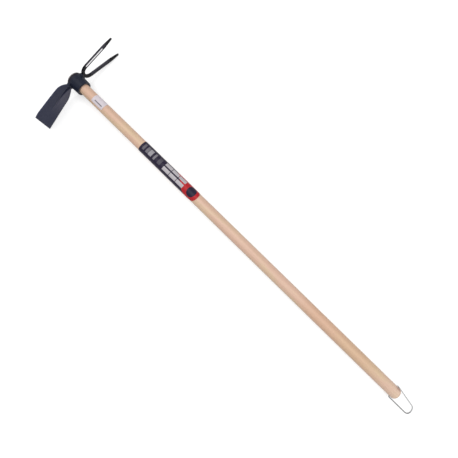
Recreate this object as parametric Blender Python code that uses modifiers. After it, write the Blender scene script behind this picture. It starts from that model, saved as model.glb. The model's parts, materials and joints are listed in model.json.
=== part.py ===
"""A long handled hoe fork: a steel head with a hoe blade on one side and a two-tined fork on the other.

The tool's own frame has Z along the handle from its head end to its grip end, Y from the blade to the
fork, and X across the blade. The last step lays the tool on the ground as it lies at rest: on the
blade's lower corner, the lower tine and the grip end of the handle, with the hang loop dropped to the
ground. Sizes are in metres.
"""

import math

import bmesh
import bpy
from mathutils import Vector

# Clearances between neighbouring pieces
SEAT_GAP = 0.0003
WIRE_CLEARANCE = 0.0003

# Handle, a long taper from the grip down to the head
HANDLE_LENGTH = 1.100
HANDLE_GRIP_RADIUS = 0.0151
HANDLE_HEAD_RADIUS = 0.0128
GRIP_END_ROUNDING = 0.0055
HEAD_END_CHAMFER = 0.0035

# Wedge driven into the end grain
WEDGE_WIDTH = 0.0175
WEDGE_DEPTH = 0.026
WEDGE_THICKNESS = 0.0036
WEDGE_TIP_THICKNESS = 0.0012

# Eye, the tapered collar round the head end of the handle
EYE_FROM_END = 0.0048
EYE_LENGTH = 0.0369
EYE_TOP_RADIUS = 0.0195
EYE_FOOT_RADIUS = 0.0186
EYE_RIM_ROUNDING = 0.0011
EYE_HEAD_ROUND_SHARE = 0.65

# Inside the eye's wall, where the blade, the fork and their welds begin before the eye trims them
ROOT_REACH = 0.8 * EYE_FOOT_RADIUS

# Hoe blade, a plate that leaves the eye square to the handle and leans towards the grip
BLADE_FRONT_FROM_END = 0.0141
BLADE_REACH = 0.1288
BLADE_EDGE_WIDTH = 0.0698
BLADE_SHOULDER_WIDTH = 0.0588
BLADE_NECK_WIDTH = 0.0182
BLADE_NECK_REACH = 0.0208
BLADE_SHOULDER_REACH = 0.0500
BLADE_LEAN = math.radians(13.2)
BLADE_BEND_LENGTH = 0.016
BLADE_THICKNESS = 0.0030
BLADE_NECK_THICKNESS = 0.0040
BLADE_EDGE_THICKNESS = 0.0009
BLADE_GRIND_LENGTH = 0.011
BLADE_EDGE_ROUNDING = 0.0003
RIB_DEPTH = 0.0030
RIB_WIDTH = 0.0108
RIB_END_WIDTH = 0.0048
RIB_START_REACH = 0.0165
RIB_FULL_REACH = 0.0250
RIB_REACH = 0.0920

# Fork, one flat bar bent edgewise into a U and drawn down to two points
FORK_FROM_END = 0.0144
FORK_REACH = 0.1286
FORK_BAR_WIDTH = 0.0080
FORK_BAR_THICKNESS = 0.0052
FORK_BAR_ROUNDING = 0.0010
FORK_BEND_RADIUS = 0.0180
FORK_SPLAY = math.radians(8.6)
FORK_POINT_LENGTH = 0.026
FORK_POINT_SHARE = 0.60
FORK_TIP_LENGTH = 0.0022
FORK_ROOT_GAP = 0.0006

# Weld beads at the roots of the blade and the fork
WELD_LEG = 0.0015
WELD_ROUNDING = 0.0014
FORK_WELD_WIDTH = 0.0168

# Hang loop, a wire whose two ends turn into a cross hole near the grip end
WIRE_DIAMETER = 0.0025
LOOP_HOLE_FROM_END = 0.012
LOOP_LENGTH = 0.0765
LOOP_BLADE_PLAY = 0.0010
LOOP_FORK_PLAY = 0.0007
LOOP_CORNER_RADIUS = 0.0026
LOOP_END_GAP = 0.0080
LOOP_FAR_WIDTH = 0.0246
LOOP_FAR_OFFSET = 0.0043
LOOP_FAR_RADIUS = 0.0115

# Label and small sticker, wrapped round the side of the handle that faces up
FILM_THICKNESS = 0.0003
LABEL_FROM_END = 0.2395
LABEL_LENGTH = 0.1844
LABEL_WRAP = 0.0480
LABEL_CORNER_RADIUS = 0.0010
LABEL_GRIP_RADIUS = 0.0220
LABEL_TURN = math.radians(5)
STICKER_FROM_END = 0.0784
STICKER_LENGTH = 0.0342
STICKER_WRAP = 0.0262
STICKER_CORNER_RADIUS = 0.0025
STICKER_TURN = math.radians(12)

# Fineness of the facets
ROUND_STEPS = 48
ARC_STEPS = 8
RIM_STEPS = 3
HANDLE_ROWS = 18
BLADE_ROWS = 34
BLADE_ROW_CROWDING = 1.35
BLADE_COLUMNS = 20
BLADE_COLUMN_CROWDING = 1.6
WIRE_SIDES_HALF = 4
WELD_DISTANCE = 1e-6
LABEL_ROWS = 36
LABEL_COLUMNS = 24
STICKER_ROWS = 14
STICKER_COLUMNS = 12
SMOOTH_ANGLE = math.radians(35)
LAYING_PASSES = 6


def start_scene():
    """Empties the scene and returns the collections for the parts and for what cuts them."""
    for obj in list(bpy.data.objects):
        bpy.data.objects.remove(obj)
    made = []
    for name in ("hoe_fork", "cutters"):
        group = bpy.data.collections.new(name)
        bpy.context.scene.collection.children.link(group)
        made.append(group)
    return made


PARTS, CUTTERS = start_scene()
TOOL = bpy.data.objects.new("tool", None)
PARTS.objects.link(TOOL)


def make_look(name, colour, roughness, metallic=0.0):
    look = bpy.data.materials.new(name)
    look.use_nodes = True
    shader = look.node_tree.nodes["Principled BSDF"]
    shader.inputs["Base Color"].default_value = (*colour, 1)
    shader.inputs["Roughness"].default_value = roughness
    shader.inputs["Metallic"].default_value = metallic
    return look


def link_part(name, data, look):
    """A sub-part in the tool's frame."""
    obj = bpy.data.objects.new(name, data)
    obj.data.materials.append(look)
    obj.parent = TOOL
    PARTS.objects.link(obj)
    return obj


def link_cutter(name, data):
    """A shape in the tool's frame that only cuts or guides others."""
    obj = bpy.data.objects.new(name, data)
    obj.parent = TOOL
    obj.hide_render = True
    obj.display_type = "WIRE"
    CUTTERS.objects.link(obj)
    return obj


def cut(obj, cutter):
    step = obj.modifiers.new(cutter.name, "BOOLEAN")
    step.object = cutter
    step.operation = "DIFFERENCE"
    step.solver = "EXACT"


def round_edges(obj, width, segments=2):
    step = obj.modifiers.new("rounding", "BEVEL")
    step.width = width
    step.segments = segments
    step.limit_method = "ANGLE"
    step.angle_limit = SMOOTH_ANGLE


def evaluated(obj):
    bpy.context.view_layer.update()
    return obj.evaluated_get(bpy.context.evaluated_depsgraph_get())


def settle(obj):
    """Keeps the object's finished mesh in place of its modifiers, shaded smooth between its sharp edges."""
    mesh = bpy.data.meshes.new_from_object(evaluated(obj))
    obj.modifiers.clear()
    obj.data = mesh
    mesh.shade_smooth()
    mesh.set_sharp_from_angle(angle=SMOOTH_ANGLE)
    return obj


def curve_mesh(curve):
    """The solid of a curve as a mesh with its end caps welded on. The curve is removed."""
    mesh = bpy.data.meshes.new_from_object(evaluated(curve))
    body = bmesh.new()
    body.from_mesh(mesh)
    bmesh.ops.remove_doubles(body, verts=body.verts, dist=WELD_DISTANCE)
    bmesh.ops.recalc_face_normals(body, faces=body.faces)
    body.to_mesh(mesh)
    body.free()
    bpy.data.objects.remove(curve)
    return mesh


def turned_mesh(name, profile, closed=False):
    """The edges of a turned outline of (radius, height), which runs down its outer side."""
    mesh = bpy.data.meshes.new(name)
    last = len(profile) if closed else len(profile) - 1
    edges = [(i, (i + 1) % len(profile)) for i in range(last)]
    mesh.from_pydata([(radius, 0, height) for radius, height in profile], edges, [])
    return mesh


def turn(obj):
    step = obj.modifiers.new("turn", "SCREW")
    step.steps = step.render_steps = ROUND_STEPS
    step.use_merge_vertices = True
    step.merge_threshold = 0.00001


def sheet_mesh(name, columns, rows, place):
    """A grid whose points are placed by their shares (-1 to 1 across, 0 to 1 along -Y)."""
    mesh = bpy.data.meshes.new(name)
    body = bmesh.new()
    bmesh.ops.create_grid(body, x_segments=columns, y_segments=rows, size=1)
    for vert in body.verts:
        vert.co = place(vert.co.x, (1 - vert.co.y) / 2)
    body.to_mesh(mesh)
    body.free()
    return mesh


def arc(centre, radius, start, end, steps=ARC_STEPS):
    """Points of an arc in a plane, from one angle to another in degrees."""
    angles = [math.radians(start + (end - start) * i / steps) for i in range(steps + 1)]
    return [(centre[0] + radius * math.cos(a), centre[1] + radius * math.sin(a)) for a in angles]


def smooth_share(value, start, end):
    """0 before start, 1 after end, and an even S between them."""
    share = min(max((value - start) / (end - start), 0), 1)
    return share * share * (3 - 2 * share)


def handle_radius(height):
    """The handle's radius at a height above its head end: it narrows more and more towards the head."""
    share = 1 - height / HANDLE_LENGTH
    return HANDLE_GRIP_RADIUS - (HANDLE_GRIP_RADIUS - HANDLE_HEAD_RADIUS) * share * share


def eye_radius(height):
    """The eye's outer radius at a height above the handle's head end."""
    share = (height - EYE_FROM_END) / EYE_LENGTH
    return EYE_TOP_RADIUS + (EYE_FOOT_RADIUS - EYE_TOP_RADIUS) * share


def wedge_mesh(grow, proud):
    """The wedge, or the slot for it: a box that thins from the handle's end to its tip."""
    mesh = bpy.data.meshes.new("wedge")
    body = bmesh.new()
    bmesh.ops.create_cube(body, size=1)
    slope = (WEDGE_THICKNESS - WEDGE_TIP_THICKNESS) / WEDGE_DEPTH
    for vert in body.verts:
        height = WEDGE_DEPTH + grow if vert.co.z > 0 else -proud
        thickness = WEDGE_THICKNESS - slope * height + 2 * grow
        vert.co.x *= WEDGE_WIDTH + 2 * grow
        vert.co.y *= thickness
        vert.co.z = height
    body.to_mesh(mesh)
    body.free()
    return mesh


def make_handle(look):
    rounding = arc((HANDLE_GRIP_RADIUS - GRIP_END_ROUNDING, HANDLE_LENGTH - GRIP_END_ROUNDING),
                   GRIP_END_ROUNDING, 90, 0)
    top = HANDLE_LENGTH - GRIP_END_ROUNDING
    heights = [top + (HEAD_END_CHAMFER - top) * i / HANDLE_ROWS for i in range(1, HANDLE_ROWS + 1)]
    side = [(handle_radius(height), height) for height in heights]
    end = [(handle_radius(0) - HEAD_END_CHAMFER, 0), (0, 0)]
    obj = link_part("handle", turned_mesh("handle", [(0, HANDLE_LENGTH)] + rounding + side + end), look)
    turn(obj)
    cut(obj, link_cutter("wedge_slot", wedge_mesh(SEAT_GAP, proud=EYE_FROM_END)))
    cut(obj, make_hole_cutter())
    return settle(obj)


def make_hole_cutter():
    """A cylinder along Y through the handle, for the ends of the hang loop."""
    mesh = bpy.data.meshes.new("loop_hole")
    body = bmesh.new()
    radius = WIRE_DIAMETER / 2 + WIRE_CLEARANCE
    bmesh.ops.create_cone(body, cap_ends=True, segments=ROUND_STEPS // 2, radius1=radius, radius2=radius,
                          depth=4 * HANDLE_GRIP_RADIUS)
    body.to_mesh(mesh)
    body.free()
    obj = link_cutter("loop_hole", mesh)
    obj.location.z = HANDLE_LENGTH - LOOP_HOLE_FROM_END
    obj.rotation_euler.x = math.radians(90)
    return obj


def make_wedge(look):
    return link_part("wedge", wedge_mesh(0, proud=0), look)


def make_eye(look):
    """A turned ring whose bore follows the handle's taper, rounded over most of its wall at the head."""
    top, foot, edge = EYE_FROM_END, EYE_FROM_END + EYE_LENGTH, EYE_RIM_ROUNDING
    foot_bore = handle_radius(foot) + SEAT_GAP
    top_bore = handle_radius(top) + SEAT_GAP
    head_edge = (EYE_TOP_RADIUS - top_bore) * EYE_HEAD_ROUND_SHARE
    corners = [
        arc((EYE_FOOT_RADIUS - edge, foot - edge), edge, 90, 0, RIM_STEPS),
        arc((EYE_TOP_RADIUS - head_edge, top + head_edge), head_edge, 0, -90, 2 * RIM_STEPS),
        arc((top_bore + edge, top + edge), edge, -90, -180, RIM_STEPS),
        arc((foot_bore + edge, foot - edge), edge, 180, 90, RIM_STEPS),
    ]
    profile = [point for corner in corners for point in corner]
    obj = link_part("eye", turned_mesh("eye", profile, closed=True), look)
    turn(obj)
    return settle(obj)


def make_eye_clearance():
    """A cone a seat gap outside the eye, which shapes the roots that meet it."""
    low, high = EYE_FROM_END - EYE_LENGTH, EYE_FROM_END + 2 * EYE_LENGTH
    profile = [(0, high), (eye_radius(high) + SEAT_GAP, high), (eye_radius(low) + SEAT_GAP, low), (0, low)]
    obj = link_cutter("eye_clearance", turned_mesh("eye_clearance", profile))
    turn(obj)
    return obj


def blade_half_width(reach):
    """Half the blade's width at a distance from the handle's axis: neck, round shoulders, straight sides."""
    along = (reach - BLADE_SHOULDER_REACH) / (BLADE_REACH - BLADE_SHOULDER_REACH)
    side = BLADE_SHOULDER_WIDTH + (BLADE_EDGE_WIDTH - BLADE_SHOULDER_WIDTH) * along
    share = (reach - BLADE_NECK_REACH) / (BLADE_SHOULDER_REACH - BLADE_NECK_REACH)
    share = min(max(share, 0), 1)
    fill = 1 - (1 - share) ** 2
    return (BLADE_NECK_WIDTH + (side - BLADE_NECK_WIDTH) * fill) / 2


def blade_front(reach):
    """Height of the blade's front face: square to the handle at the neck, then leaning towards the grip."""
    out = max(reach - eye_radius(BLADE_FRONT_FROM_END), 0)
    bend = BLADE_BEND_LENGTH * (1 - math.exp(-out / BLADE_BEND_LENGTH))
    return BLADE_FRONT_FROM_END + math.tan(BLADE_LEAN) * (out - bend)


def rib_depth(across, reach):
    """Depth of the groove pressed down the middle of the front face, which fades out along the blade."""
    fade = 1 - smooth_share(reach, RIB_FULL_REACH, RIB_REACH)
    half = (RIB_END_WIDTH + (RIB_WIDTH - RIB_END_WIDTH) * fade) / 2
    if abs(across) >= half:
        return 0
    depth = RIB_DEPTH * fade * smooth_share(reach, RIB_START_REACH, RIB_FULL_REACH)
    return depth * (1 + math.cos(math.pi * across / half)) / 2


def blade_thickness(reach):
    """Thick at the neck, even down the blade, ground thin along the cutting edge."""
    neck = 1 - smooth_share(reach, BLADE_NECK_REACH, BLADE_SHOULDER_REACH)
    grind = min(max((reach - BLADE_REACH + BLADE_GRIND_LENGTH) / BLADE_GRIND_LENGTH, 0), 1)
    thickness = BLADE_THICKNESS + (BLADE_NECK_THICKNESS - BLADE_THICKNESS) * neck
    return thickness + (BLADE_EDGE_THICKNESS - BLADE_THICKNESS) * grind


def blade_mesh(grow):
    """The formed front face, grown forwards and sideways for a clearance."""

    def place(across, along):
        reach = ROOT_REACH + (BLADE_REACH - ROOT_REACH) * along ** BLADE_ROW_CROWDING
        half = blade_half_width(reach) + grow
        x = math.copysign(abs(across) ** BLADE_COLUMN_CROWDING, across) * half
        return Vector((x, -reach, blade_front(reach) - rib_depth(x, reach) + grow))

    return sheet_mesh("hoe_blade", BLADE_COLUMNS, BLADE_ROWS, place)


def make_plate(obj, grow):
    """Makes the formed face solid towards the head end, thick at the neck and thin at the edge."""
    full = BLADE_NECK_THICKNESS + 2 * grow
    weights = obj.vertex_groups.new(name="thickness")
    for vert in obj.data.vertices:
        weights.add([vert.index], (blade_thickness(-vert.co.y) + 2 * grow) / full, "REPLACE")
    solid = obj.modifiers.new("plate", "SOLIDIFY")
    solid.thickness = full
    solid.offset = -1
    solid.vertex_group = "thickness"


def make_blade(look, eye_clearance):
    obj = link_part("hoe_blade", blade_mesh(0), look)
    make_plate(obj, 0)
    round_edges(obj, BLADE_EDGE_ROUNDING, segments=1)
    cut(obj, eye_clearance)
    return settle(obj)


def fork_path():
    """Half of the bar's middle line from the middle of its U to a tip, as (x, y, share of full size)."""
    bottom = EYE_TOP_RADIUS + FORK_ROOT_GAP + FORK_BAR_WIDTH / 2
    centre = bottom + FORK_BEND_RADIUS
    turn_end = -math.degrees(FORK_SPLAY)
    bend = [(x, y, 1) for x, y in arc((0, centre), FORK_BEND_RADIUS, -90, turn_end)]
    start = Vector(bend[-1][:2])
    direction = Vector((math.sin(FORK_SPLAY), math.cos(FORK_SPLAY)))
    length = (FORK_REACH - start.y) / direction.y
    stations = [
        ((length - FORK_POINT_LENGTH) / 2, 1),
        (length - FORK_POINT_LENGTH, 1),
        (length - FORK_TIP_LENGTH, FORK_POINT_SHARE),
        (length, FORK_POINT_SHARE / 2),
    ]
    straight = [(*(start + direction * distance), share) for distance, share in stations]
    return bend + straight


def bar_section(grow):
    """The bar's rounded cross-section as a closed guide curve."""
    curve = bpy.data.curves.new("bar_section", "CURVE")
    curve.dimensions = "2D"
    edge = FORK_BAR_ROUNDING + grow
    across = FORK_BAR_WIDTH / 2 + grow - edge
    up = FORK_BAR_THICKNESS / 2 + grow - edge
    points = []
    for x, y, start in ((across, up, 0), (-across, up, 90), (-across, -up, 180), (across, -up, 270)):
        points += arc((x, y), edge, start, start + 90, RIM_STEPS)
    spline = curve.splines.new("POLY")
    spline.points.add(len(points) - 1)
    for point, (x, y) in zip(spline.points, points):
        point.co = (x, y, 0, 1)
    spline.use_cyclic_u = True
    return link_cutter("bar_section", curve)


def fork_mesh(grow):
    """The bent bar as one sweep from tip to tip, grown all round for a clearance."""
    half = fork_path()
    whole = [(-x, y, share) for x, y, share in half[:0:-1]] + half
    curve = bpy.data.curves.new("fork", "CURVE")
    curve.dimensions = "3D"
    curve.twist_mode = "Z_UP"
    curve.bevel_mode = "OBJECT"
    curve.bevel_object = bar_section(grow)
    curve.use_fill_caps = True
    spline = curve.splines.new("POLY")
    spline.points.add(len(whole) - 1)
    for point, (x, y, share) in zip(spline.points, whole):
        point.co = (x, y, FORK_FROM_END, 1)
        point.radius = share
    mesh = curve_mesh(link_cutter("fork_sweep", curve))
    bpy.data.objects.remove(curve.bevel_object)
    return mesh


def make_fork(look):
    return settle(link_part("fork", fork_mesh(0), look))


def weld_block(name, look, width, low, high, near, far):
    """A rounded block round a root, from height low to high and from near to far along Y."""
    mesh = bpy.data.meshes.new(name)
    body = bmesh.new()
    bmesh.ops.create_cube(body, size=1)
    for vert in body.verts:
        vert.co.x *= width
        vert.co.y = far if vert.co.y > 0 else near
        vert.co.z = high if vert.co.z > 0 else low
    body.to_mesh(mesh)
    body.free()
    obj = link_part(name, mesh, look)
    round_edges(obj, WELD_ROUNDING)
    return obj


def make_fork_weld(look, eye_clearance):
    """The bead that fills the corners between the eye and the bottom of the U."""
    half = FORK_BAR_THICKNESS / 2 + WELD_LEG
    obj = weld_block("fork_weld", look, FORK_WELD_WIDTH, FORK_FROM_END - half, FORK_FROM_END + half,
                     ROOT_REACH, EYE_TOP_RADIUS + FORK_ROOT_GAP + WELD_LEG)
    cut(obj, eye_clearance)
    cut(obj, link_cutter("fork_clearance", fork_mesh(SEAT_GAP)))
    return settle(obj)


def make_blade_weld(look, eye_clearance):
    """The bead round the blade's neck where it meets the eye."""
    back = BLADE_FRONT_FROM_END - BLADE_NECK_THICKNESS
    obj = weld_block("blade_weld", look, BLADE_NECK_WIDTH + 2 * WELD_LEG, back - WELD_LEG,
                     BLADE_FRONT_FROM_END + WELD_LEG, -EYE_TOP_RADIUS - WELD_LEG, -ROOT_REACH)
    cut(obj, eye_clearance)
    clearance = link_cutter("blade_clearance", blade_mesh(SEAT_GAP))
    make_plate(clearance, SEAT_GAP)
    cut(obj, clearance)
    return settle(obj)


def loop_path():
    """The wire's middle line as (y, z) points from the hinge axis, the blade's side first."""
    side = HANDLE_GRIP_RADIUS + WIRE_DIAMETER / 2
    blade_leg = -side - LOOP_BLADE_PLAY
    fork_leg = side + LOOP_FORK_PLAY
    corner = LOOP_CORNER_RADIUS
    inner = LOOP_END_GAP / 2
    far = LOOP_LENGTH - LOOP_FAR_RADIUS
    blade_side = -LOOP_FAR_OFFSET - LOOP_FAR_WIDTH / 2 + LOOP_FAR_RADIUS
    fork_side = -LOOP_FAR_OFFSET + LOOP_FAR_WIDTH / 2 - LOOP_FAR_RADIUS
    return (
        [(-inner, 0)]
        + arc((blade_leg + corner, corner), corner, 270, 180)
        + arc((blade_side, far), LOOP_FAR_RADIUS, 180, 90)
        + arc((fork_side, far), LOOP_FAR_RADIUS, 90, 0)
        + arc((fork_leg - corner, corner), corner, 0, -90)
        + [(inner, 0)]
    )


def make_hang_loop(look):
    curve = bpy.data.curves.new("hang_loop", "CURVE")
    curve.dimensions = "3D"
    curve.bevel_depth = WIRE_DIAMETER / 2
    curve.bevel_resolution = WIRE_SIDES_HALF
    curve.use_fill_caps = True
    points = loop_path()
    spline = curve.splines.new("POLY")
    spline.points.add(len(points) - 1)
    for point, (y, z) in zip(spline.points, points):
        point.co = (0, y, z, 1)
    obj = link_part("hang_loop", curve_mesh(link_cutter("hang_loop_wire", curve)), look)
    obj.location.z = HANDLE_LENGTH - LOOP_HOLE_FROM_END
    return settle(obj)


def corner_inset(radius, from_end):
    """How far a round corner has drawn a side in, at a distance from the end that it rounds."""
    into_corner = max(radius - from_end, 0)
    return radius - math.sqrt(radius ** 2 - into_corner ** 2)


def make_film(name, look, start, length, wrap, turned, corners, rows, columns):
    """A thin sheet with round corners (head end's radius, grip end's radius), bent round the handle."""
    head_corner, grip_corner = corners

    def place(across, row_share):
        along = length * (1 - math.cos(math.pi * row_share)) / 2
        inset = corner_inset(head_corner, along) + corner_inset(grip_corner, length - along)
        radius = handle_radius(start + along) + SEAT_GAP + FILM_THICKNESS
        angle = turned + across * (wrap / 2 - inset) / radius
        return Vector((-radius * math.cos(angle), radius * math.sin(angle), start + along))

    obj = link_part(name, sheet_mesh(name, columns, rows, place), look)
    solid = obj.modifiers.new("film", "SOLIDIFY")
    solid.thickness = FILM_THICKNESS
    solid.offset = -1
    return settle(obj)


def make_label(look):
    """A printed film, cut square at its head end and round like a tongue at its grip end."""
    return make_film("label", look, LABEL_FROM_END, LABEL_LENGTH, LABEL_WRAP, LABEL_TURN,
                     (LABEL_CORNER_RADIUS, LABEL_GRIP_RADIUS), LABEL_ROWS, LABEL_COLUMNS)


def make_sticker(look):
    """A small paper rectangle with round corners."""
    return make_film("sticker", look, STICKER_FROM_END, STICKER_LENGTH, STICKER_WRAP, STICKER_TURN,
                     (STICKER_CORNER_RADIUS, STICKER_CORNER_RADIUS), STICKER_ROWS, STICKER_COLUMNS)


def points_in_tool(obj):
    """The object's corners in the tool's frame."""
    return [obj.matrix_basis @ vert.co for vert in obj.data.vertices]


def lay_down(supports):
    """Turns the tool until the lowest points of its three supports are level."""
    feet_of = [points_in_tool(obj) for obj in supports]
    rotation = TOOL.rotation_euler.to_matrix()
    for _ in range(LAYING_PASSES):
        first, second, third = [min((rotation @ p for p in points), key=lambda p: p.z) for points in feet_of]
        normal = (second - first).cross(third - first)
        if normal.z < 0:
            normal.negate()
        rotation = normal.rotation_difference(Vector((0, 0, 1))).to_matrix() @ rotation
    TOOL.rotation_euler = rotation.to_euler()
    return first.z


def drop_loop(loop, ground):
    """Swings the hang loop down until it touches the ground."""
    rotation = TOOL.rotation_euler.to_matrix()
    for _ in range(LAYING_PASSES):
        lowest = min((rotation @ p for p in points_in_tool(loop)), key=lambda p: p.z)
        reach = (lowest - rotation @ loop.location).length
        loop.rotation_euler.y += math.asin((lowest.z - ground) / reach)


def centre_on_ground(parts):
    """Moves the tool so that the middle of its footprint is the origin and its lowest point is at zero."""
    rotation = TOOL.rotation_euler.to_matrix()
    points = [rotation @ p for obj in parts for p in points_in_tool(obj)]
    low = [min(p[axis] for p in points) for axis in range(3)]
    high = [max(p[axis] for p in points) for axis in range(3)]
    TOOL.location = (-(low[0] + high[0]) / 2, -(low[1] + high[1]) / 2, -low[2])


def build():
    wood = make_look("pale_wood", (0.730, 0.520, 0.352), 0.55)
    paint = make_look("black_paint", (0.030, 0.031, 0.040), 0.42)
    steel = make_look("bare_steel", (0.42, 0.42, 0.43), 0.4, metallic=1.0)
    wire = make_look("zinc_wire", (0.35, 0.35, 0.36), 0.38, metallic=1.0)
    film = make_look("label_film", (0.018, 0.016, 0.022), 0.35)
    paper = make_look("sticker_paper", (0.80, 0.77, 0.81), 0.7)

    eye_clearance = make_eye_clearance()
    handle = make_handle(wood)
    blade = make_blade(paint, eye_clearance)
    fork = make_fork(paint)
    loop = make_hang_loop(wire)
    others = [
        make_wedge(steel),
        make_eye(paint),
        make_fork_weld(paint, eye_clearance),
        make_blade_weld(paint, eye_clearance),
        make_label(film),
        make_sticker(paper),
    ]
    TOOL.rotation_euler.y = math.radians(90)
    ground = lay_down([blade, fork, handle])
    drop_loop(loop, ground)
    centre_on_ground([handle, blade, fork, loop] + others)


build()
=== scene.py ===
"""Looks of the hoe fork: wood, painted steel, wire, printed label and sticker, under soft studio light.

Everything is placed in the tool's own frame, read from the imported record: along runs from the head end of
the handle to its grip end, side points to the fork, and up points away from the ground. Lengths are in
metres, turns round the handle in radians from up towards the fork's side, and colours are linear. Most
pairs are the two ends of a stretch, of a smooth passage or of a range.
"""

import json
import math

import bpy
from mathutils import Matrix, Vector

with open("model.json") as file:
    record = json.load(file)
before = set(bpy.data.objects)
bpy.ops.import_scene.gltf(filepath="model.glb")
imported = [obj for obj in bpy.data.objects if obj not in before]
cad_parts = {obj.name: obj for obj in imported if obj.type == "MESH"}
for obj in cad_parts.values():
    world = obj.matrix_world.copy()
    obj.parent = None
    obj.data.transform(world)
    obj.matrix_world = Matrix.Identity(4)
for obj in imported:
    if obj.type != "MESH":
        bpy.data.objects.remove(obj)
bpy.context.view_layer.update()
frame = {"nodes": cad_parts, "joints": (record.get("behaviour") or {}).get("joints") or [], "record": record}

# Camera, read from the photograph: it looks square to the handle from above
PICTURE_SIZE = 458
FOCAL_PIXELS = 329.93
SENSOR_WIDTH = 36.0
CAMERA_DISTANCE = 0.8
CAMERA_LEAN = math.radians(5.4)
CAMERA_ROLL = math.radians(44.36)
CAMERA_CLIP_START = 0.01
AIM_FROM_HEAD = 0.5293
AIM_TO_FORK = 0.00243

# Light
WHITE = (1, 1, 1, 1)
SKY_STRENGTH = 0.41
SOFTBOX_SIZE = (3.2, 1.6)
SOFTBOX_HEIGHT = 1.7
SOFTBOX_POWER = 36.0

# Floor, lifted further towards white with the distance from its middle
FLOOR_SIZE = 12.0
FLOOR_COLOUR = (0.62, 0.62, 0.62)
FLOOR_ROUGHNESS = 0.9
FLOOR_LIFT = (0.48, 0.80)
FLOOR_LIFT_REACH = (0.8, 3.0)

# Noises: clouds in a metre along the handle and across it, then detail and roughness where they are set
DRIFT_NOISE = (3.5, 22, 2)
FIBRE_NOISE = (22, 900, 4, 0.6)
STREAK_NOISE = (7, 160)
HUE_NOISE = (9, 38, 2)
PORE_NOISE = (150, 2300, 1)
PAINT_CLOUD_NOISE = (55, 55, 4)
PEEL_NOISE = (1100, 1100, 2)
FORGED_NOISE = (75, 75, 2)
SCRATCH_NOISE = (2600, 60, 2)
DUST_NOISE = (1500, 1500, 1)
EYE_RAGGED_NOISE = (260, 260)
RIM_MOTTLE_NOISE = (140, 420, 5, 0.7)
BLADE_RAGGED_NOISE = (260, 260, 4)
STRIP_RAGGED_NOISE = (300, 300)
STRIP_WOBBLE_NOISE = (700, 700, 5, 0.65)
WIRE_LINE_NOISE = (60, 3500, 2)
WIRE_CLOUD_NOISE = (350, 350)
HAMMER_NOISE = (420, 420)
RUST_NOISE = (900, 900, 4)
WRINKLE_NOISE = (90, 260, 2)
PAPER_NOISE = (1600, 1600)

# Wood of the handle, with shares of the colours that are laid on it
WOOD_LIGHT = (0.620, 0.446, 0.328)
WOOD_DARK = (0.500, 0.325, 0.220)
WOOD_PINK = (0.620, 0.395, 0.305)
WOOD_YELLOW = (0.610, 0.475, 0.295)
WOOD_TAN = (0.570, 0.345, 0.215)
WOOD_PALE = (0.700, 0.545, 0.425)
WOOD_PORE = (0.330, 0.205, 0.140)
WOOD_PAINTED_SHADE = (0.260, 0.110, 0.080)
WOOD_ROUGHNESS = (0.56, 0.48)
HUE_SPREAD = (0.38, 0.62)
HUE_SHARE = 0.70
STREAK_START = (0.50, 0.78)
FIBRE_START = (0.45, 0.85)
PORE_START = (0.66, 0.74)
HEAD_STRETCH_END = (0.22, 0.42)
HEAD_STRETCH_HUE_SHIFT = -0.12
HEAD_STRETCH_TAN_SHARE = 0.20
TAN_STRETCH = (0.78, 1.01)
TAN_STRETCH_SOFTNESS = 0.10
TAN_STRETCH_SHARE = 0.60
PALE_STRETCH_START = (1.03, 1.11)

# Growth rings round their pith, with the share of a ring at which it darkens and lightens again
RING_PITCH = 0.0034
RING_WANDER = 0.009
RING_DARKENS = (0.25, 0.88)
RING_LIGHTENS = (0.90, 1.0)
PITH_SIDE = -0.021
PITH_UP = -0.034

# Painted shade by the loop's hole, dark and reddish
HOLE_SHADE_ALONG = 1.0888
HOLE_SHADE_UP = 0.0085
HOLE_SHADE_SLIMNESS = 0.45
HOLE_SHADE_FADE = (0.0015, 0.0055)
HOLE_SHADE_SIDE_START = (0.006, 0.010)

# All the paint
PAINT_CLOUD_SPREAD = (0.35, 0.70)
PAINT_ROUGHNESS = (0.30, 0.50)
SCRATCH_GREY = (0.10, 0.10, 0.11)
SCRATCH_START = (0.72, 0.76)
DUST_GREY = (0.20, 0.19, 0.18)
DUST_START = (0.74, 0.80)

# Eye, steel where the paint is thin from wear, and the greys of a painted highlight on the eye's head rim
EYE_PAINT = (0.0075, 0.0105, 0.0220)
EYE_PAINT_THIN = (0.0115, 0.0145, 0.0275)
EYE_PAINT_WARM = (0.0127, 0.0093, 0.0159)
EYE_SPECULAR = 0.14
EYE_WARM_END = (0.0090, 0.0170)
EYE_RIM_END = (0.0080, 0.0100)
EYE_FOOT_START = (0.0418, 0.0424)
EYE_RAGGEDNESS = 0.0012
EYE_CHIP_START = (0.50, 0.60)
RIM_MOTTLE_SPREAD = (0.35, 0.65)
WORN_RIM = (0.330, 0.315, 0.310)
RIM_HIGHLIGHT_DARK = (0.255, 0.244, 0.240)
RIM_HIGHLIGHT_LIGHT = (0.405, 0.388, 0.380)

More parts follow.
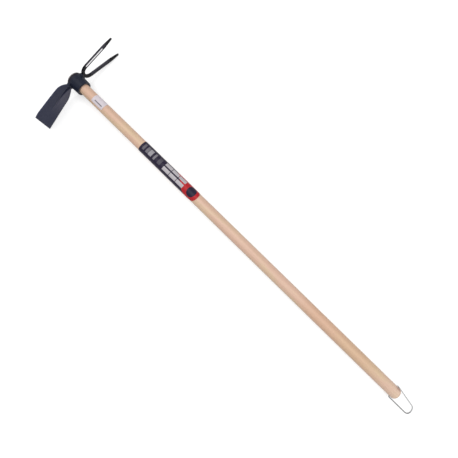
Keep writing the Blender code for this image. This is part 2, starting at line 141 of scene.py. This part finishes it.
# Blade, in a lighter copy of the eye's paint as painted light, with painted light and painted shade by its
# groove. Heights in its groove are taken from a line that slants with it
BLADE_PAINT_LIT = (0.0250, 0.0290, 0.0610)
BLADE_PAINT_THIN_LIT = (0.0310, 0.0350, 0.0690)
BLADE_PAINTED_LIGHT = (0.0980, 0.0950, 0.1330)
BLADE_PAINTED_SHADE = (0.0060, 0.0080, 0.0230)
BLADE_LOWER_HALF_END = (-0.0085, -0.0040)
BLADE_HALVES_PAINTED_LIGHT = (0.78, 0.06)
BLADE_EDGE_END = (-0.1278, -0.1270)
BLADE_EDGE_RAGGEDNESS = 0.0020
GROOVE_SLANT = 0.136
GROOVE_PAINTED_LIGHT_START = (-0.105, -0.042)
GROOVE_FLANK = (-0.0176, -0.0088)
GROOVE_FLANK_SOFTNESS = 0.0026
GROOVE_BOTTOM = (-0.0078, -0.0024)
GROOVE_BOTTOM_SOFTNESS = 0.0022
GROOVE_BOTTOM_START = (-0.078, -0.050)

# Fork, with a painted highlight as a bright strip on its upper tine, painted light on its narrow faces and
# painted shade at root and points
FORK_PAINT = (0.0182, 0.0174, 0.0258)
FORK_PAINT_THIN = (0.0242, 0.0233, 0.0333)
FORK_PAINTED_SHADE = (0.0018, 0.0016, 0.0030)
FORK_PAINTED_LIGHT = (0.0450, 0.0433, 0.0560)
ROOT_END = (0.034, 0.046)
TINE_SPLAY = math.radians(8.6)
NARROW_FACE_UPNESS = (0.55, 0.85)
LOWER_TINE_END = (-0.004, 0.004)
POINT_START = (0.100, 0.114)
LOWER_POINT_LEAD = 0.010
TIP_START = (0.1230, 0.1290)
TIP_SHARE = 0.05
STRIP_HEIGHT = (0.0127, 0.0160)
STRIP_HEIGHT_SOFTNESS = 0.0006
STRIP_WOBBLE = 0.0010
STRIP_REACH = (0.0400, 0.0965)
STRIP_REACH_SOFTNESS = 0.0030
STRIP_RAGGEDNESS = 0.0020
STRIP_FACE_START = (0.0154, 0.0160)
PAST_STRIP_START = (0.088, 0.094)
STEEL_HIGHLIGHT_AND_WEAR = (0.76, 0.75, 0.76)
HIGHLIGHT_AND_WEAR_ROUGHNESS = 0.30

# Wedge and wire. The wire is darker with each metre away from the fork
BARE_STEEL = (0.400, 0.395, 0.390)
BARE_STEEL_ROUGHNESS = (0.40, 0.65)
RUST = (0.210, 0.110, 0.060)
RUST_START = (0.60, 0.75)
ZINC_ROUGHNESS = (0.30, 0.48)
ZINC = (0.430, 0.435, 0.440)
ZINC_DARK = (0.172, 0.174, 0.177)
ZINC_CLOUDINESS = 0.6
ZINC_DARKENING = -30
ZINC_DARKENS = (0.00, 0.60)

# Label. A soft bar is where it starts, where it ends and how strong it is
LABEL_BLACK = (0.0125, 0.0080, 0.0260)
LABEL_RED = (0.400, 0.0130, 0.0190)
LABEL_PALE = (0.640, 0.620, 0.650)
LABEL_BAR = (0.430, 0.408, 0.430)
LABEL_ROUGHNESS = (0.32, 0.44)
LABEL_BORDER = (0.3668, 0.3674)
LABEL_BORDER_SLANT = 0.01722
PRINT_SOFTNESS = 0.0006
PRINT_TURN_SOFTNESS = 0.03
SOFT_BARS = (
    (0.2457, 0.2517, 0.15),
    (0.2564, 0.2636, 0.22),
    (0.2648, 0.2750, 0.43),
    (0.2807, 0.2860, 0.26),
    (0.2945, 0.3040, 0.09),
)
SOFT_BAR_TURN = (-0.50, 0.66)
BROKEN_BAR_TURNS = ((-0.63, 0.02), (0.28, 0.95))
BROKEN_BAR_LENGTHS = ((0.3136, 0.3345), (0.3360, 0.3565), (0.3580, 0.3800))
OVAL_ALONG = 0.4034
OVAL_HALF_LENGTH = 0.0117
OVAL_TURN = 0.15
OVAL_HALF_TURN = 1.05
OVAL_EDGE = (0.98, 1.02)

# Sticker
PAPER = (0.605, 0.550, 0.590)
PAPER_GREY = (0.160, 0.145, 0.165)
PAPER_ROUGHNESS = (0.60, 0.75)
STICKER_BAR = (0.0855, 0.1085)
STICKER_BAR_SOFTNESS = 0.0008
STICKER_BAR_TURN = (-0.29, -0.09)
STICKER_BAR_TURN_SOFTNESS = 0.02


def tool_axes():
    """The head end of the handle's axis, and the along, side and up directions."""
    mounts = {mount["name"]: mount for mount in frame["record"]["mounts"]}
    hinge = frame["joints"][0]
    along = Vector(mounts["grip_end"]["axis"]).normalized()
    side = Vector(hinge["axis"]).normalized()
    side = (side - along * side.dot(along)).normalized()
    up = along.cross(side)
    grip = Vector(mounts["grip_end"]["pos_m"])
    length = (grip - Vector(mounts["head_end"]["pos_m"])).dot(along)
    return grip - along * length, along, side, up


HEAD, ALONG, SIDE, UP = tool_axes()
TOOL_TURN = Matrix((ALONG, SIDE, UP)).transposed().to_euler()


class Look:
    """A material under construction, with short calls for the nodes that it is made of."""

    def __init__(self, name):
        self.material = bpy.data.materials.new(name)
        self.material.use_nodes = True
        self.tree = self.material.node_tree
        self.shader = self.tree.nodes["Principled BSDF"]
        mapping = self.add("ShaderNodeMapping", vector_type="TEXTURE")
        mapping.inputs["Location"].default_value = HEAD
        mapping.inputs["Rotation"].default_value = TOOL_TURN
        place = self.add("ShaderNodeTexCoord").outputs["Object"]
        self.tree.links.new(place, mapping.inputs["Vector"])
        self.point = mapping.outputs["Vector"]
        parts = self.add("ShaderNodeSeparateXYZ")
        self.tree.links.new(self.point, parts.inputs[0])
        self.along, self.side, self.up = parts.outputs

    def add(self, kind, **settings):
        """A new node with these settings."""
        made = self.tree.nodes.new(kind)
        for key, setting in settings.items():
            setattr(made, key, setting)
        return made

    def feed(self, socket, value):
        """Links another node's output to the socket, or sets it to a colour, a vector or a number."""
        if isinstance(value, bpy.types.NodeSocket):
            self.tree.links.new(value, socket)
        elif socket.type == "RGBA":
            socket.default_value = (*value, 1)
        else:
            socket.default_value = value

    def set(self, **values):
        """Sets the shader's inputs: Base_Color stands for Base Color."""
        for key, value in values.items():
            self.feed(self.shader.inputs[key.replace("_", " ")], value)

    def math(self, operation, first, second=0.0, third=0.0):
        """The number that this operation gives."""
        made = self.add("ShaderNodeMath", operation=operation)
        for socket, value in zip(made.inputs, (first, second, third)):
            self.feed(socket, value)
        return made.outputs[0]

    def both(self, first, second):
        """The product, which for two shares is 1 only where both are."""
        return self.math("MULTIPLY", first, second)

    def largest(self, values):
        """The largest of several numbers."""
        best, *others = values
        for value in others:
            best = self.math("MAXIMUM", best, value)
        return best

    def distance(self, first, second):
        """The length of a line with these two parts, square to each other."""
        return self.math("SQRT", self.math("MULTIPLY_ADD", first, first, self.both(second, second)))

    def turn(self):
        """The turn round the handle."""
        return self.math("ARCTAN2", self.side, self.up)

    def step(self, value, start, end):
        """0 before start and 1 after end, with a smooth passage."""
        made = self.add("ShaderNodeMapRange", interpolation_type="SMOOTHSTEP")
        self.feed(made.inputs["Value"], value)
        made.inputs["From Min"].default_value = start
        made.inputs["From Max"].default_value = end
        return made.outputs["Result"]

    def fall(self, value, start, end):
        """1 before start and 0 after end, with a smooth passage."""
        return self.math("SUBTRACT", 1, self.step(value, start, end))

    def band(self, value, start, end, soft):
        """1 between start and end, and 0 outside, with edges soft wide."""
        begun = self.step(value, start - soft / 2, start + soft / 2)
        ended = self.step(value, end - soft / 2, end + soft / 2)
        return self.math("SUBTRACT", begun, ended)

    def mix(self, share, first, second):
        """A colour between two colours."""
        made = self.add("ShaderNodeMix", data_type="RGBA")
        self.feed(made.inputs[0], share)
        self.feed(made.inputs[6], first)
        self.feed(made.inputs[7], second)
        return made.outputs[2]

    def lay(self, under, over, mask, share):
        """The colour under with the colour over laid on it, at this share where the mask is 1."""
        return self.mix(self.both(mask, share), under, over)

    def blend(self, share, low, high):
        """A number between low and high."""
        made = self.add("ShaderNodeMix", data_type="FLOAT")
        self.feed(made.inputs[0], share)
        self.feed(made.inputs[2], low)
        self.feed(made.inputs[3], high)
        return made.outputs[0]

    def vector(self, operation, first, second=(0, 0, 0), output="Vector"):
        """The vector that this operation gives, or the number."""
        made = self.add("ShaderNodeVectorMath", operation=operation)
        for socket, value in zip(made.inputs, (first, second)):
            self.feed(socket, value)
        return made.outputs[output]

    def turned_normal(self):
        """Where a face of a turned piece points, less its small part round the handle, so no facets show."""
        place = self.add("ShaderNodeTexCoord")
        arm = self.vector("SUBTRACT", place.outputs["Object"], HEAD)
        way_round = self.vector("NORMALIZE", self.vector("CROSS_PRODUCT", arm, ALONG))
        share = self.vector("DOT_PRODUCT", place.outputs["Normal"], way_round, "Value")
        stray = self.vector("MULTIPLY", way_round, share)
        return self.vector("NORMALIZE", self.vector("SUBTRACT", place.outputs["Normal"], stray))

    def noise(self, along, across, detail=3.0, roughness=0.5):
        """Cloudy noise, with about this many clouds in a metre along the handle and across it."""
        place = self.vector("MULTIPLY", self.point, (along, across, across))
        made = self.add("ShaderNodeTexNoise")
        self.tree.links.new(place, made.inputs["Vector"])
        made.inputs["Scale"].default_value = 1.0
        made.inputs["Detail"].default_value = detail
        made.inputs["Roughness"].default_value = roughness
        return made.outputs[0]

    def bump(self, height, strength, distance, under=None):
        """The normal of a surface with this height on it, on top of the normal under it."""
        made = self.add("ShaderNodeBump")
        self.feed(made.inputs["Height"], height)
        made.inputs["Strength"].default_value = strength
        made.inputs["Distance"].default_value = distance
        if under is not None:
            self.tree.links.new(under, made.inputs["Normal"])
        return made.outputs["Normal"]

    def dress(self, *names):
        """Puts the material in every slot of the named CAD nodes."""
        for name in names:
            for slot in frame["nodes"][name].material_slots:
                slot.material = self.material


def ring_share(look):
    """Growth rings round a pith outside the handle: 0 in early wood, 1 in late wood."""
    drift = look.noise(*DRIFT_NOISE)
    side = look.math("SUBTRACT", look.side, PITH_SIDE)
    up = look.math("SUBTRACT", look.up, PITH_UP)
    radius = look.math("MULTIPLY_ADD", drift, RING_WANDER, look.distance(side, up))
    turns = look.math("FRACT", look.math("DIVIDE", radius, RING_PITCH))
    return look.both(look.step(turns, *RING_DARKENS), look.fall(turns, *RING_LIGHTENS))


def hole_painted_shade(look):
    """Painted shade above the loop's hole, on the fork's side of the handle and drawn out along it."""
    past = look.both(look.math("SUBTRACT", look.along, HOLE_SHADE_ALONG), HOLE_SHADE_SLIMNESS)
    above = look.math("SUBTRACT", look.up, HOLE_SHADE_UP)
    near = look.fall(look.distance(past, above), *HOLE_SHADE_FADE)
    return look.both(near, look.step(look.side, *HOLE_SHADE_SIDE_START))


def make_wood():
    """Pale close-grained wood: faint growth rings, fine fibres, short dark pores and a slow drift of hue."""
    look = Look("pale_wood_looks")
    rings = ring_share(look)
    fibres = look.noise(*FIBRE_NOISE)
    streaks = look.noise(*STREAK_NOISE)
    hue = look.noise(*HUE_NOISE)
    pores = look.step(look.noise(*PORE_NOISE), *PORE_START)
    near_head = look.fall(look.along, *HEAD_STRETCH_END)
    hue = look.math("MULTIPLY_ADD", near_head, HEAD_STRETCH_HUE_SHIFT, hue)
    drift = look.mix(look.step(hue, *HUE_SPREAD), WOOD_PINK, WOOD_YELLOW)
    colour = look.mix(HUE_SHARE, WOOD_LIGHT, drift)
    tan = look.both(look.band(look.along, *TAN_STRETCH, TAN_STRETCH_SOFTNESS), TAN_STRETCH_SHARE)
    tan = look.math("MULTIPLY_ADD", near_head, HEAD_STRETCH_TAN_SHARE, tan)
    colour = look.mix(tan, colour, WOOD_TAN)
    colour = look.lay(colour, WOOD_PALE, look.step(look.along, *PALE_STRETCH_START), share=0.50)
    colour = look.lay(colour, WOOD_DARK, rings, share=0.30)
    colour = look.lay(colour, WOOD_DARK, look.step(streaks, *STREAK_START), share=0.36)
    colour = look.lay(colour, WOOD_DARK, look.step(fibres, *FIBRE_START), share=0.32)
    colour = look.lay(colour, WOOD_PORE, pores, share=0.38)
    # Painted shade: a dark reddish patch stands in for the shade where the loop's hole and wire meet the
    # wood.
    colour = look.lay(colour, WOOD_PAINTED_SHADE, hole_painted_shade(look), share=0.70)
    grain = look.bump(fibres, strength=0.12, distance=0.0004, under=look.turned_normal())
    look.set(
        Base_Color=colour,
        Roughness=look.blend(rings, *WOOD_ROUGHNESS),
        Coat_Weight=0.12,
        Coat_Roughness=0.35,
        Normal=look.bump(pores, strength=-0.25, distance=0.0003, under=grain),
    )
    look.dress("handle")


def painted(name, darker, thin, turned=False):
    """Satin dark paint on forged steel: slight orange peel, uneven gloss, dust and a few hair scratches."""
    look = Look(name)
    cloud = look.noise(*PAINT_CLOUD_NOISE)
    peel = look.noise(*PEEL_NOISE)
    forged = look.noise(*FORGED_NOISE)
    scratches = look.step(look.noise(*SCRATCH_NOISE), *SCRATCH_START)
    dust = look.step(look.noise(*DUST_NOISE), *DUST_START)
    colour = look.mix(look.step(cloud, *PAINT_CLOUD_SPREAD), darker, thin)
    colour = look.lay(colour, SCRATCH_GREY, scratches, share=0.35)
    colour = look.lay(colour, DUST_GREY, dust, share=0.18)
    gloss = look.blend(cloud, *PAINT_ROUGHNESS)
    under = look.turned_normal() if turned else None
    surface = look.bump(forged, strength=0.10, distance=0.0016, under=under)
    return look, colour, gloss, look.bump(peel, strength=0.06, distance=0.0003, under=surface)


def make_eye_paint():
    """Paint of the eye, with a painted highlight of cloudy steel grey on its rounded head rim, and chipped
    at its foot.
    """
    look, colour, gloss, surface = painted("eye_paint_looks", EYE_PAINT, EYE_PAINT_THIN, turned=True)
    colour = look.mix(look.step(look.along, *EYE_WARM_END), EYE_PAINT_WARM, colour)
    ragged = look.noise(*EYE_RAGGED_NOISE)
    length = look.math("MULTIPLY_ADD", ragged, EYE_RAGGEDNESS, look.along)
    # Painted highlight: the rounded head rim is painted a mottled light grey that stands in for light off
    # it.
    rim_highlight = look.fall(length, *EYE_RIM_END)
    foot = look.both(look.step(length, *EYE_FOOT_START), look.step(ragged, *EYE_CHIP_START))
    mottle = look.noise(*RIM_MOTTLE_NOISE)
    steel = look.mix(look.step(mottle, *RIM_MOTTLE_SPREAD), RIM_HIGHLIGHT_DARK, RIM_HIGHLIGHT_LIGHT)
    colour = look.mix(rim_highlight, look.lay(colour, WORN_RIM, foot, share=0.35), steel)
    look.set(Base_Color=colour, Roughness=gloss, Specular_IOR_Level=EYE_SPECULAR, Normal=surface)
    look.dress("eye")


def make_weld_paint():
    """The eye's paint where it covers the weld beads."""
    look, colour, gloss, surface = painted("weld_paint_looks", EYE_PAINT, EYE_PAINT_THIN)
    look.set(Base_Color=colour, Roughness=gloss, Specular_IOR_Level=EYE_SPECULAR, Normal=surface)
    look.dress("blade_weld", "fork_weld")


def shade_groove(look, colour):
    """Painted light on the blade's lower half near the neck and on the groove's flank, and painted shade in
    the groove's bottom.
    """
    fade = look.step(look.side, *GROOVE_PAINTED_LIGHT_START)
    height = look.math("MULTIPLY_ADD", look.side, GROOVE_SLANT, look.up)
    flank = look.band(height, *GROOVE_FLANK, GROOVE_FLANK_SOFTNESS)
    half = look.blend(look.step(look.up, *BLADE_LOWER_HALF_END), *BLADE_HALVES_PAINTED_LIGHT)
    painted_light = look.both(fade, look.math("MAXIMUM", flank, half))
    bottom = look.band(height, *GROOVE_BOTTOM, GROOVE_BOTTOM_SOFTNESS)
    bottom = look.both(bottom, look.step(look.side, *GROOVE_BOTTOM_START))
    # Painted light where the flank and the lower half catch light, and painted shade darkening the groove's
    # bottom.
    colour = look.mix(painted_light, colour, BLADE_PAINTED_LIGHT)
    return look.lay(colour, BLADE_PAINTED_SHADE, bottom, share=0.75)


def make_blade_paint():
    """Paint of the blade: the eye's paint made a little lighter as painted light, and thinned by wear along
    the ground cutting edge.
    """
    # Painted light: the blade's paint is a lighter copy of the eye's paint.
    look, colour, gloss, surface = painted("blade_paint_looks", BLADE_PAINT_LIT, BLADE_PAINT_THIN_LIT)
    colour = shade_groove(look, colour)
    ragged = look.noise(*BLADE_RAGGED_NOISE)
    reach = look.math("MULTIPLY_ADD", ragged, BLADE_EDGE_RAGGEDNESS, look.side)
    colour = look.lay(colour, WORN_RIM, look.fall(reach, *BLADE_EDGE_END), share=0.14)
    look.set(Base_Color=colour, Roughness=gloss, Specular_IOR_Level=0.10, Normal=surface)
    look.dress("hoe_blade")


def shade_fork(look, colour):
    """Painted light on the tines' narrow faces, clear of the bright strip, and painted shade at root and
    points.
    """
    # Painted light: faces that point partly up or down are painted lighter.
    faces_up = look.vector("DOT_PRODUCT", look.add("ShaderNodeTexCoord").outputs["Normal"], UP, "Value")
    narrow = look.step(look.math("ABSOLUTE", faces_up), *NARROW_FACE_UPNESS)
    lower = look.fall(look.up, *LOWER_TINE_END)
    clear = look.math("MAXIMUM", lower, look.step(look.side, *PAST_STRIP_START))
    # Painted shade: darker at the root by the eye and at the points.
    root = look.fall(look.side, *ROOT_END)
    reach = look.math("MULTIPLY_ADD", lower, LOWER_POINT_LEAD, look.side)
    darker = look.math("MAXIMUM", root, look.step(reach, *POINT_START))
    colour = look.mix(look.both(narrow, clear), colour, FORK_PAINTED_LIGHT)
    return look.lay(colour, FORK_PAINTED_SHADE, darker, share=0.90)


def make_fork_paint():
    """Paint of the fork, with a painted highlight of bright steel on the flat of the upper tine that faces
    the grip.
    """
    look, colour, gloss, surface = painted("fork_paint_looks", FORK_PAINT, FORK_PAINT_THIN)
    colour = shade_fork(look, colour)
    height = look.math("MULTIPLY_ADD", look.side, -math.tan(TINE_SPLAY), look.up)
    ragged = look.noise(*STRIP_RAGGED_NOISE)
    wobble = look.noise(*STRIP_WOBBLE_NOISE)
    height = look.math("MULTIPLY_ADD", wobble, STRIP_WOBBLE, height)
    reach = look.math("MULTIPLY_ADD", ragged, STRIP_RAGGEDNESS, look.side)
    # Painted highlight: a strip of bright metal stands in for light off the upper tine's flat face.
    painted_light = look.band(height, *STRIP_HEIGHT, STRIP_HEIGHT_SOFTNESS)
    painted_light = look.both(painted_light, look.band(reach, *STRIP_REACH, STRIP_REACH_SOFTNESS))
    painted_light = look.both(painted_light, look.step(look.along, *STRIP_FACE_START))
    tips = look.both(look.step(reach, *TIP_START), TIP_SHARE)
    # Bare metal for the painted highlight, and faint wear at the points.
    highlight_and_wear = look.math("MAXIMUM", painted_light, tips)
    look.set(
        Base_Color=look.mix(highlight_and_wear, colour, STEEL_HIGHLIGHT_AND_WEAR),
        Metallic=highlight_and_wear,
        Roughness=look.blend(highlight_and_wear, gloss, HIGHLIGHT_AND_WEAR_ROUGHNESS),
        Specular_IOR_Level=0.09,
        Normal=surface,
    )
    look.dress("fork")


def make_wire():
    """Drawn zinc-plated wire: fine lines along it, cloudy plating, and a colour that is brightest on the
    fork's side.
    """
    look = Look("zinc_wire_looks")
    lines = look.noise(*WIRE_LINE_NOISE)
    cloud = look.noise(*WIRE_CLOUD_NOISE)
    # Darker in random clouds, and with each metre away from the fork's side.
    darkness = look.math("MULTIPLY_ADD", cloud, ZINC_CLOUDINESS, look.math("MULTIPLY", look.side, ZINC_DARKENING))
    look.set(
        Base_Color=look.mix(look.step(darkness, *ZINC_DARKENS), ZINC, ZINC_DARK),
        Metallic=1.0,
        Roughness=look.blend(cloud, *ZINC_ROUGHNESS),
        Normal=look.bump(lines, strength=0.08, distance=0.0002),
    )
    look.dress("hang_loop")


def make_bare_steel():
    """The wedge: rough sheared steel with hammer marks and specks of rust."""
    look = Look("bare_steel_looks")
    marks = look.noise(*HAMMER_NOISE)
    rust = look.step(look.noise(*RUST_NOISE), *RUST_START)
    look.set(
        Base_Color=look.lay(BARE_STEEL, RUST, rust, share=0.50),
        Metallic=1.0,
        Roughness=look.blend(marks, *BARE_STEEL_ROUGHNESS),
        Normal=look.bump(marks, strength=0.25, distance=0.0004),
    )
    look.dress("wedge")


def soft_bars(look, turn):
    """Soft bars across the label's black field."""
    bars = []
    for start, end, strength in SOFT_BARS:
        bars.append(look.both(look.band(look.along, start, end, PRINT_SOFTNESS), strength))
    return look.both(look.largest(bars), look.band(turn, *SOFT_BAR_TURN, PRINT_TURN_SOFTNESS))


def broken_bars(look, turn):
    """Two bars along the label, each in three lengths."""
    rows = look.largest(look.band(turn, *row, PRINT_TURN_SOFTNESS) for row in BROKEN_BAR_TURNS)
    lengths = look.largest(look.band(look.along, *length, PRINT_SOFTNESS) for length in BROKEN_BAR_LENGTHS)
    return look.both(rows, lengths)


def plain_oval(look, turn):
    """An oval on the label's red field."""
    around = look.math("DIVIDE", look.math("SUBTRACT", turn, OVAL_TURN), OVAL_HALF_TURN)
    ahead = look.math("DIVIDE", look.math("SUBTRACT", look.along, OVAL_ALONG), OVAL_HALF_LENGTH)
    return look.fall(look.distance(around, ahead), *OVAL_EDGE)


def make_label():
    """A printed film: black field, slanting border, red field with a plain dark oval, and plain bars."""
    look = Look("label_film_looks")
    turn = look.turn()
    slant = look.math("MULTIPLY_ADD", turn, LABEL_BORDER_SLANT, look.along)
    colour = look.mix(look.step(slant, *LABEL_BORDER), LABEL_BLACK, LABEL_RED)
    colour = look.mix(soft_bars(look, turn), colour, LABEL_PALE)
    colour = look.mix(broken_bars(look, turn), colour, LABEL_BAR)
    colour = look.mix(plain_oval(look, turn), colour, LABEL_BLACK)
    wrinkles = look.noise(*WRINKLE_NOISE)
    look.set(
        Base_Color=colour,
        Roughness=look.blend(wrinkles, *LABEL_ROUGHNESS),
        Specular_IOR_Level=0.18,
        Normal=look.bump(wrinkles, strength=0.10, distance=0.0004, under=look.turned_normal()),
    )
    look.dress("label")


def make_sticker():
    """White paper with one plain grey bar."""
    look = Look("sticker_paper_looks")
    fibres = look.noise(*PAPER_NOISE)
    length = look.band(look.along, *STICKER_BAR, STICKER_BAR_SOFTNESS)
    bar = look.both(length, look.band(look.turn(), *STICKER_BAR_TURN, STICKER_BAR_TURN_SOFTNESS))
    colour = look.mix(bar, PAPER, PAPER_GREY)
    look.set(
        Base_Color=look.lay(colour, PAPER_GREY, fibres, share=0.06),
        Roughness=look.blend(fibres, *PAPER_ROUGHNESS),
        Normal=look.bump(fibres, strength=0.08, distance=0.0002, under=look.turned_normal()),
    )
    look.dress("sticker")


def seen_or_reflected(tree):
    """1 for what the camera sees directly, in metal or through glass, and 0 for light falling on things."""
    path = tree.nodes.new("ShaderNodeLightPath")
    seen = path.outputs["Is Camera Ray"]
    for ray in ("Is Glossy Ray", "Is Transmission Ray"):
        either = tree.nodes.new("ShaderNodeMath")
        either.operation = "MAXIMUM"
        tree.links.new(seen, either.inputs[0])
        tree.links.new(path.outputs[ray], either.inputs[1])
        seen = either.outputs[0]
    return seen


def make_floor_look():
    """Pale paper, lifted towards white where it is seen or reflected, so that faint shadows stay."""
    look = bpy.data.materials.new("floor_paper")
    look.use_nodes = True
    shader = look.node_tree.nodes["Principled BSDF"]
    shader.inputs["Base Color"].default_value = (*FLOOR_COLOUR, 1)
    shader.inputs["Roughness"].default_value = FLOOR_ROUGHNESS
    shader.inputs["Specular IOR Level"].default_value = 0.0
    shader.inputs["Emission Color"].default_value = WHITE
    nodes, links = look.node_tree.nodes, look.node_tree.links
    reach = nodes.new("ShaderNodeVectorMath")
    reach.operation = "LENGTH"
    links.new(nodes.new("ShaderNodeTexCoord").outputs["Object"], reach.inputs[0])
    lift = nodes.new("ShaderNodeMapRange")
    lift.interpolation_type = "SMOOTHSTEP"
    for name, value in zip(("From Min", "From Max", "To Min", "To Max"), FLOOR_LIFT_REACH + FLOOR_LIFT):
        lift.inputs[name].default_value = value
    links.new(reach.outputs["Value"], lift.inputs["Value"])
    shown = nodes.new("ShaderNodeMath")
    shown.operation = "MULTIPLY"
    links.new(seen_or_reflected(look.node_tree), shown.inputs[0])
    links.new(lift.outputs["Result"], shown.inputs[1])
    links.new(shown.outputs[0], shader.inputs["Emission Strength"])
    return look


def make_floor():
    """A wide flat floor under the tool."""
    mesh = bpy.data.meshes.new("floor")
    half = FLOOR_SIZE / 2
    corners = [(-half, -half, 0), (half, -half, 0), (half, half, 0), (-half, half, 0)]
    mesh.from_pydata(corners, [], [(0, 1, 2, 3)])
    floor = bpy.data.objects.new("floor", mesh)
    bpy.context.scene.collection.objects.link(floor)
    mesh.materials.append(make_floor_look())


def make_sky():
    """Even soft light from all round, white where it is seen or reflected."""
    world = bpy.data.worlds.new("studio")
    bpy.context.scene.world = world
    world.use_nodes = True
    background = world.node_tree.nodes["Background"]
    background.inputs["Color"].default_value = WHITE
    strength = world.node_tree.nodes.new("ShaderNodeMapRange")
    strength.inputs["To Min"].default_value = SKY_STRENGTH
    world.node_tree.links.new(seen_or_reflected(world.node_tree), strength.inputs["Value"])
    world.node_tree.links.new(strength.outputs["Result"], background.inputs["Strength"])


def make_softbox():
    """A long softbox high over the tool, aimed straight down at the middle of the floor."""
    data = bpy.data.lights.new("overhead", "AREA")
    data.shape = "RECTANGLE"
    data.size, data.size_y = SOFTBOX_SIZE
    data.energy = SOFTBOX_POWER
    light = bpy.data.objects.new("overhead", data)
    light.location = (0, 0, SOFTBOX_HEIGHT)
    light.rotation_euler = light.location.to_track_quat("Z", "Y").to_euler()
    bpy.context.scene.collection.objects.link(light)


def make_camera():
    """Square to the handle from above, rolled so that the handle runs from top left to bottom right."""
    across = SIDE * math.cos(CAMERA_LEAN) + UP * math.sin(CAMERA_LEAN)
    back = UP * math.cos(CAMERA_LEAN) - SIDE * math.sin(CAMERA_LEAN)
    right = ALONG * math.cos(CAMERA_ROLL) + across * math.sin(CAMERA_ROLL)
    top = across * math.cos(CAMERA_ROLL) - ALONG * math.sin(CAMERA_ROLL)
    data = bpy.data.cameras.new("camera")
    data.sensor_width = SENSOR_WIDTH
    data.lens = SENSOR_WIDTH * FOCAL_PIXELS / PICTURE_SIZE
    data.clip_start = CAMERA_CLIP_START
    camera = bpy.data.objects.new("camera", data)
    bpy.context.scene.collection.objects.link(camera)
    place = HEAD + ALONG * AIM_FROM_HEAD + across * AIM_TO_FORK + back * CAMERA_DISTANCE
    camera.matrix_world = Matrix.Translation(place) @ Matrix((right, top, back)).transposed().to_4x4()
    bpy.context.scene.camera = camera


bpy.context.scene.view_settings.view_transform = "Standard"
make_camera()
make_sky()
make_softbox()
make_floor()
make_wood()
make_eye_paint()
make_weld_paint()
make_blade_paint()
make_fork_paint()
make_wire()
make_bare_steel()
make_label()
make_sticker()
